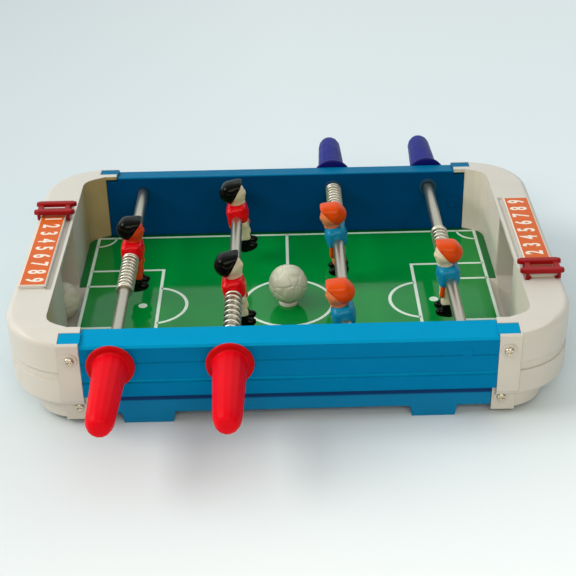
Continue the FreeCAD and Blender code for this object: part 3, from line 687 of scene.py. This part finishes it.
def grip(team, role, side):
    node = f"{team}_{role}_handle"
    lo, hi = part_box(node)
    x = (lo.x + hi.x) / 2
    near = hi.y if side < 0 else lo.y
    profile = grip_profile((hi.x - lo.x) / 2, hi.y - lo.y)
    n = FACETS * FACET_STEPS
    verts = []
    for r, s, ridge in profile:
        for k in range(n):
            a = 2 * math.pi * k / n
            local = (a * FACETS / (2 * math.pi)) % 1.0 - 0.5
            flat = math.cos(math.pi / FACETS) / math.cos(local * 2 * math.pi / FACETS)
            rr = r * (1 + ridge * (flat - 1) * (1.0 if abs(local) < 0.44 else 0.86))
            verts.append((x + rr * math.cos(a), near + side * s, ROD_Z + rr * math.sin(a)))
    faces = ring_faces(len(profile), n, flip=side < 0)
    mats = [1] * (FLANGE_ROWS * n) + [0] * (len(faces) - FLANGE_ROWS * n)
    obj = mesh_object(f"{team}_{role}_grip", verts, faces, [team + "_grip", team + "_flange"], mats)
    place(obj, f"{team}_{role}_rod", [node])


for team, role, side in RODS:
    grip(team, role, side)


# ---------------------------------------------------------------- round marks moulded in the walls
DISC_SIDES = 48


def wall_disc(name, x, z, r, face_y, out, thick, mat):
    """A low round boss standing on an upright wall; out is the way it faces along y."""
    rings = [
        (r, -0.2 * MM),
        (r, thick * 0.55),
        (r - thick * 0.45, thick),
        (0.62 * r, thick),
        (0.5 * r, thick * 0.7),
    ]
    verts = []
    for radius, rise in rings:
        for k in range(DISC_SIDES):
            a = 2 * math.pi * k / DISC_SIDES
            verts.append((x + radius * math.cos(a), face_y + out * rise, z + radius * math.sin(a)))
    faces = ring_faces(len(rings), DISC_SIDES, flip=out < 0)
    place(mesh_object(name, verts, faces, [mat]), "table")


BOSS_X, BOSS_Z, BOSS_R, BOSS_T = 0.1150, 0.0314, 0.0038, 0.0004
ROD_END_X, ROD_END_R, ROD_END_T = 0.0975, 0.0032, 0.00015
for side, end, mat in ((1, "rear", "blue_rear_shaded"), (-1, "front", "blue")):
    wall_disc(end + "_wall_boss", side * BOSS_X, BOSS_Z, BOSS_R, side * WALL_IN, -side, BOSS_T, mat)
    wall_disc(end + "_rod_end_mark", -side * ROD_END_X, ROD_Z, ROD_END_R, side * WALL_OUT, side,
              ROD_END_T, mat)


# ---------------------------------------------------------------- pitch print
INK_Z = PITCH_Z + 0.00003
INK_T = 0.00004


class Ribbon:
    def __init__(self):
        self.verts = []
        self.faces = []

    def path(self, points, width, closed=False):
        pts = np.array(points, float) * MM
        nxt = np.roll(pts, -1, 0)
        prv = np.roll(pts, 1, 0)
        if not closed:
            nxt[-1] = 2 * pts[-1] - pts[-2]
            prv[0] = 2 * pts[0] - pts[1]
        d0 = pts - prv
        d1 = nxt - pts
        d0 /= np.linalg.norm(d0, axis=1)[:, None]
        d1 /= np.linalg.norm(d1, axis=1)[:, None]
        mid = d0 + d1
        mid /= np.linalg.norm(mid, axis=1)[:, None]
        side = np.stack([-mid[:, 1], mid[:, 0]], 1)
        cosine = (mid * d1).sum(1)
        off = side * (width * MM / 2 / cosine)[:, None]
        base = len(self.verts)
        for a, b in zip(pts + off, pts - off):
            self.verts.append((a[0], a[1], INK_Z))
            self.verts.append((b[0], b[1], INK_Z))
        n = len(pts)
        for i in range(n if closed else n - 1):
            j = (i + 1) % n
            self.faces.append((base + 2 * i, base + 2 * i + 1, base + 2 * j + 1, base + 2 * j))

    def disc(self, x, y, r):
        base = len(self.verts)
        for k in range(40):
            a = 2 * math.pi * k / 40
            self.verts.append(((x + r * math.cos(a)) * MM, (y + r * math.sin(a)) * MM, INK_Z))
        self.faces.append(tuple(range(base, base + 40)))


def arc(x, y, r, a0, a1, n=48):
    points = []
    for k in range(n + 1):
        a = math.radians(a0 + (a1 - a0) * k / n)
        points.append((x + r * math.cos(a), y + r * math.sin(a)))
    return points


# the markings, in millimetres from the middle of the pitch
LINE = 2.0
CORNER_LINE = LINE * 0.8
FIELD_X, FIELD_Y = 130, 91.06
CIRCLE_R = 28.1
AREA_X, AREA_Y = 82.17, 45.26
SMALL_AREA_X, SMALL_AREA_Y = 105.7, 25.43
SPOT_X, SPOT_R = 92.3, 2.85
BOW_X, BOW_R, BOW_HALF = 86.1, 21.6, 21.2
CORNER_R = 12


def area_line(side, x, y):
    return [(side * FIELD_X, -y), (side * x, -y), (side * x, y), (side * FIELD_X, y)]


ink = Ribbon()
ink.path([(-FIELD_X, -FIELD_Y), (FIELD_X, -FIELD_Y), (FIELD_X, FIELD_Y), (-FIELD_X, FIELD_Y)], LINE, True)
ink.path([(0, -FIELD_Y), (0, -CIRCLE_R)], LINE)
ink.path([(0, CIRCLE_R), (0, FIELD_Y)], LINE)
ink.path(arc(0, 0, CIRCLE_R, 0, 352.5, 47), LINE, True)
for side in (-1, 1):
    ink.path(area_line(side, AREA_X, AREA_Y), LINE)
    ink.path(area_line(side, SMALL_AREA_X, SMALL_AREA_Y), LINE)
    ink.disc(side * SPOT_X, 0, SPOT_R)
    reach = math.degrees(math.asin(BOW_HALF / BOW_R))
    bow = arc(BOW_X, 0, BOW_R, 180 - reach, 180 + reach)
    ink.path([(side * x, y) for x, y in bow], LINE)
    for end in (-1, 1):
        corner = arc(0, 0, CORNER_R, 0, 90, 16)
        ink.path([(side * (FIELD_X - x), end * (FIELD_Y - y)) for x, y in corner], CORNER_LINE)
lines = mesh_object("pitch_lines", ink.verts, ink.faces, ["ink"], smooth=False)
thick = lines.modifiers.new("thick", "SOLIDIFY")
thick.thickness = INK_T
thick.offset = 0
place(lines, "table")


# ---------------------------------------------------------------- score labels
PRINT_EDGE = 0.0003
PRINT_T = 0.00006
DIGIT_SIZE = 0.0142
DIGIT_WEIGHT = 0.0004
DIGIT_T = 0.00003
DIGIT_WIDTH = 0.66
DIGIT_PITCH = 9.65
FIRST_DIGIT = {-1: 30.6, 1: -36.9}


def label_panel(name, lo, hi):
    e = PRINT_EDGE
    outline = [(lo.x + e, lo.y + e), (hi.x - e, lo.y + e), (hi.x - e, hi.y - e), (lo.x + e, hi.y - e)]
    verts = [(x, y, hi.z + z) for z in (0.0, PRINT_T) for x, y in outline]
    faces = [(0, 3, 2, 1), (4, 5, 6, 7), (0, 1, 5, 4), (1, 2, 6, 5), (2, 3, 7, 6), (3, 0, 4, 7)]
    return mesh_object(name, verts, faces, ["label_orange"], smooth=False)


def printed_digit(name, figure):
    curve = bpy.data.curves.new(name, "FONT")
    curve.body = figure
    curve.size = DIGIT_SIZE
    curve.align_x = "CENTER"
    curve.align_y = "CENTER"
    curve.offset = DIGIT_WEIGHT
    curve.extrude = DIGIT_T
    curve.resolution_u = 8
    text = bpy.data.objects.new(name, curve)
    bpy.context.scene.collection.objects.link(text)
    bpy.context.view_layer.update()
    data = bpy.data.meshes.new_from_object(text.evaluated_get(bpy.context.evaluated_depsgraph_get()))
    bpy.data.objects.remove(text)
    data.materials.clear()
    data.materials.append(MAT["label_film"])
    digit = bpy.data.objects.new(name, data)
    bpy.context.scene.collection.objects.link(digit)
    return digit


def printed_label(side, name):
    lo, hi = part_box(name + "_score_label")
    place(label_panel(name + "_label_print", lo, hi), "table")
    spin = Matrix.Rotation(side * math.pi / 2, 4, "Z")
    narrow = Matrix.Diagonal((DIGIT_WIDTH, 1.0, 1.0, 1.0))
    for k in range(9):
        digit = printed_digit(f"{name}_digit_{k + 1}", str(k + 1))
        y = (FIRST_DIGIT[side] + side * k * DIGIT_PITCH) * MM
        middle_of = Matrix.Translation(((lo.x + hi.x) / 2, y, hi.z + 0.0001))
        digit.matrix_world = middle_of @ spin @ narrow
        place(digit, "table")


printed_label(-1, "left")
printed_label(1, "right")

# ---------------------------------------------------------------- floor
FLOOR = 3
corners = [(-FLOOR, -FLOOR, 0), (FLOOR, -FLOOR, 0), (FLOOR, FLOOR, 0), (-FLOOR, FLOOR, 0)]
floor = mesh_object("floor", corners, [(0, 1, 2, 3)], [], smooth=False)
paint = Nodes("floor_painted_shade")
# The floor's colour carries painted shade: palest at the front, darker around the table, lighter again to the
# rear, and darker toward the left.
to_rear = paint.spread(paint.along("Y"), 0, 1, -0.3, 0.7)
to_right = paint.spread(paint.along("X"), 0, 1, -0.4, 0.4)
pale = [(0.0, lin(252, 254, 254)), (0.25, lin(224, 236, 240)), (1.0, lin(238, 246, 248))]
painted_side_shade = [(0.0, (0.64, 0.66, 0.67, 1)), (0.5, (0.9, 0.9, 0.9, 1)), (1.0, (1, 1, 1, 1))]
floor_color = paint.times(paint.ramp(to_rear, pale), paint.ramp(to_right, painted_side_shade))
paint.link(floor_color, paint.bsdf.inputs["Base Color"])
paint.bsdf.inputs["Roughness"].default_value = 0.8
floor.data.materials.append(paint.mat)


# ---------------------------------------------------------------- light
BRIGHT_SKY_TOWARD = (0, 0.7, 0.72)
SKY = [(0.0, (0.055, 0.052, 0.045, 1)), (0.42, (0.50, 0.53, 0.54, 1)), (0.85, (0.88, 0.95, 0.98, 1))]


def studio_world():
    """An even pale surround, brightest above the rear and dark underneath."""
    world = bpy.data.worlds.new("studio")
    bpy.context.scene.world = world
    world.use_nodes = True
    tree = world.node_tree
    direction = tree.nodes.new("ShaderNodeTexCoord").outputs["Generated"]
    toward = tree.nodes.new("ShaderNodeVectorMath")
    toward.operation = "DOT_PRODUCT"
    toward.inputs[1].default_value = BRIGHT_SKY_TOWARD
    tree.links.new(direction, toward.inputs[0])
    sky = tree.nodes.new("ShaderNodeValToRGB")
    ramp = sky.color_ramp
    ramp.elements[0].position, ramp.elements[0].color = SKY[0]
    ramp.elements[1].position, ramp.elements[1].color = SKY[2]
    ramp.elements.new(SKY[1][0]).color = SKY[1][1]
    tree.links.new(toward.outputs["Value"], sky.inputs["Fac"])
    tree.links.new(sky.outputs["Color"], tree.nodes["Background"].inputs["Color"])
    tree.nodes["Background"].inputs["Strength"].default_value = 1.0


def area(name, place_at, target, size, power, color):
    lamp = bpy.data.lights.new(name, "AREA")
    lamp.shape = "RECTANGLE"
    lamp.size, lamp.size_y = size
    lamp.energy = power
    lamp.color = color
    obj = bpy.data.objects.new(name, lamp)
    bpy.context.scene.collection.objects.link(obj)
    obj.location = place_at
    obj.rotation_euler = (Vector(target) - Vector(place_at)).to_track_quat("-Z", "Y").to_euler()


studio_world()
area("key", (-1.5, -0.1, 1.15), (0, 0, 0), (1.2, 0.9), 23, (1.0, 0.98, 0.94))
area("front", (0.1, -1.3, 0.95), (0, 0, 0.04), (1.4, 0.6), 9.8, (1.0, 0.91, 0.76))
area("low_fill", (0.0, -1.1, 0.04), (0, 0, 0.02), (2.2, 0.06), 1.0, (1.0, 0.86, 0.68))


# ---------------------------------------------------------------- camera
PICTURE = 576
FOCAL = 1290.0
CENTRE = (302.05, 289.19)
SENSOR = 36
EYE = (-0.00003, -0.701093, 0.435091)
YAW_PITCH_ROLL = (0.719, -30.538, -0.969)


def camera_axes():
    """The camera's right, up and backward directions."""
    yaw, pitch, roll = (math.radians(a) for a in YAW_PITCH_ROLL)
    ahead = math.cos(pitch)
    forward = Vector((math.sin(yaw) * ahead, math.cos(yaw) * ahead, math.sin(pitch)))
    level = Vector((math.cos(yaw), -math.sin(yaw), 0))
    upward = level.cross(forward)
    right = math.cos(roll) * level + math.sin(roll) * upward
    above = -math.sin(roll) * level + math.cos(roll) * upward
    return Matrix((right, above, -forward)).transposed().to_4x4()


camera = bpy.data.cameras.new("camera")
camera.sensor_width = SENSOR
camera.lens = FOCAL * SENSOR / PICTURE
camera.shift_x = -(CENTRE[0] - PICTURE / 2) / PICTURE
camera.shift_y = (CENTRE[1] - PICTURE / 2) / PICTURE
camera.clip_start = 0.05
camera.clip_end = 20
eye = bpy.data.objects.new("camera", camera)
bpy.context.scene.collection.objects.link(eye)
eye.matrix_world = Matrix.Translation(EYE) @ camera_axes()
bpy.context.scene.camera = eye
bpy.context.scene.view_settings.view_transform = "Standard"
